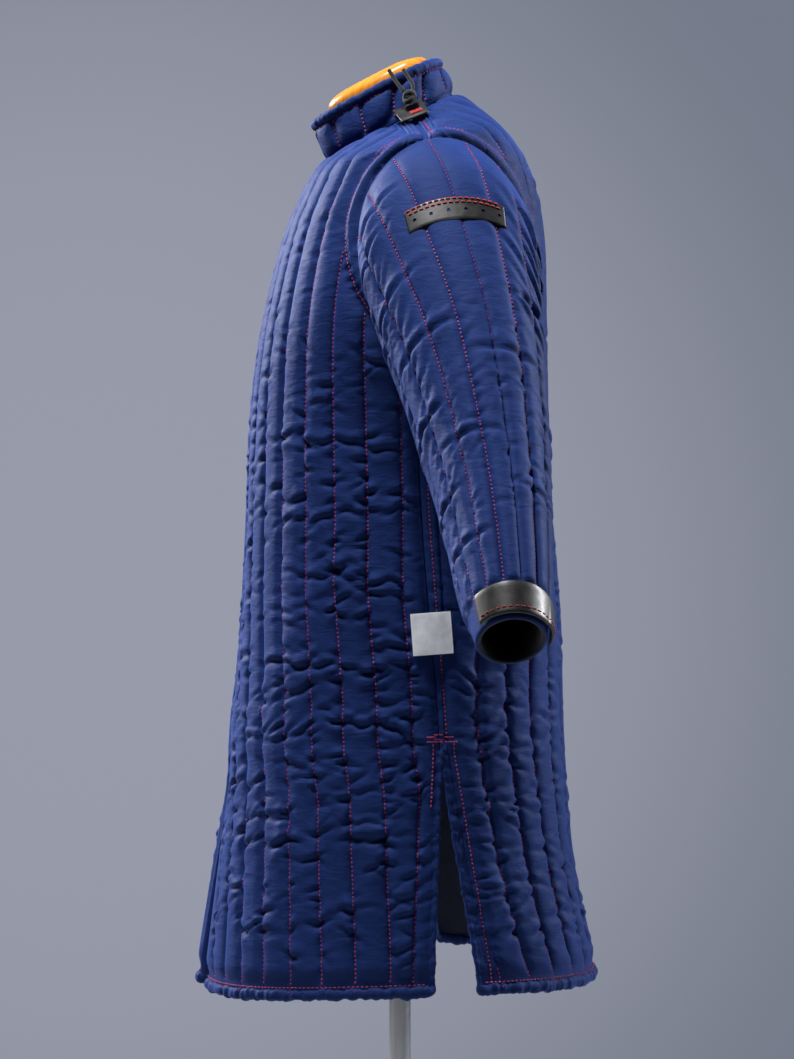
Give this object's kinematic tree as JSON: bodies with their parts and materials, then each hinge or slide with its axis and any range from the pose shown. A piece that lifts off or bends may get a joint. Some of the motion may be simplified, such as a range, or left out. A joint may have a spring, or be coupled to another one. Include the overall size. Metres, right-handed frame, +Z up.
{
  "type": "gambeson on a limbless dress form",
  "caption": "Long quilted arming coat with stand collar, side slits, leather cuffs and sleeve lacing strips, worn by a limbless dress form on a pole with a round foot.",
  "frame": {"origin": "centre of the foot plate's flat underside, on the axis of the dress form's pole", "axes": "+Z up along the pole, the coat's front faces -Y, the wearer's left side is +X"},
  "size_m": [1.0112, 0.4623, 1.5292],
  "materials": {
    "quilted_cloth": "navy cotton sateen, quilted over wadding, with red topstitching",
    "binding": "navy cotton sateen, rolled and gathered strip",
    "leather": "black finished leather, slightly glossy",
    "lace": "black woven lace",
    "label_tape": "white woven tape, blank",
    "form_cover": "plain black stretch cover",
    "cap_wood": "honey-coloured wood under gloss lacquer",
    "pole_steel": "satin steel tube",
    "base_paint": "black powder coat"
  },
  "bodies": {
    "root": {"front_left": "quilted_cloth", "front_right": "quilted_cloth", "back": "quilted_cloth", "sleeve_left": "quilted_cloth", "sleeve_right": "quilted_cloth", "collar": "quilted_cloth", "collar_binding": "binding", "hem_binding_front_left": "binding", "hem_binding_front_right": "binding", "hem_binding_back": "binding", "cuff_leather_left": "leather", "cuff_leather_right": "leather", "lacing_strip_left": "leather", "lacing_strip_right": "leather", "point_patch_left": "leather", "point_patch_right": "leather", "lace_knot_left": "lace", "lace_knot_right": "lace", "lace_tail_left_a": "lace", "lace_tail_left_b": "lace", "lace_tail_right_a": "lace", "lace_tail_right_b": "lace", "label": "label_tape", "form_torso": "form_cover", "form_neck_cap": "cap_wood", "form_pole": "pole_steel", "form_base": "base_paint"}
  },
  "joints": []
}
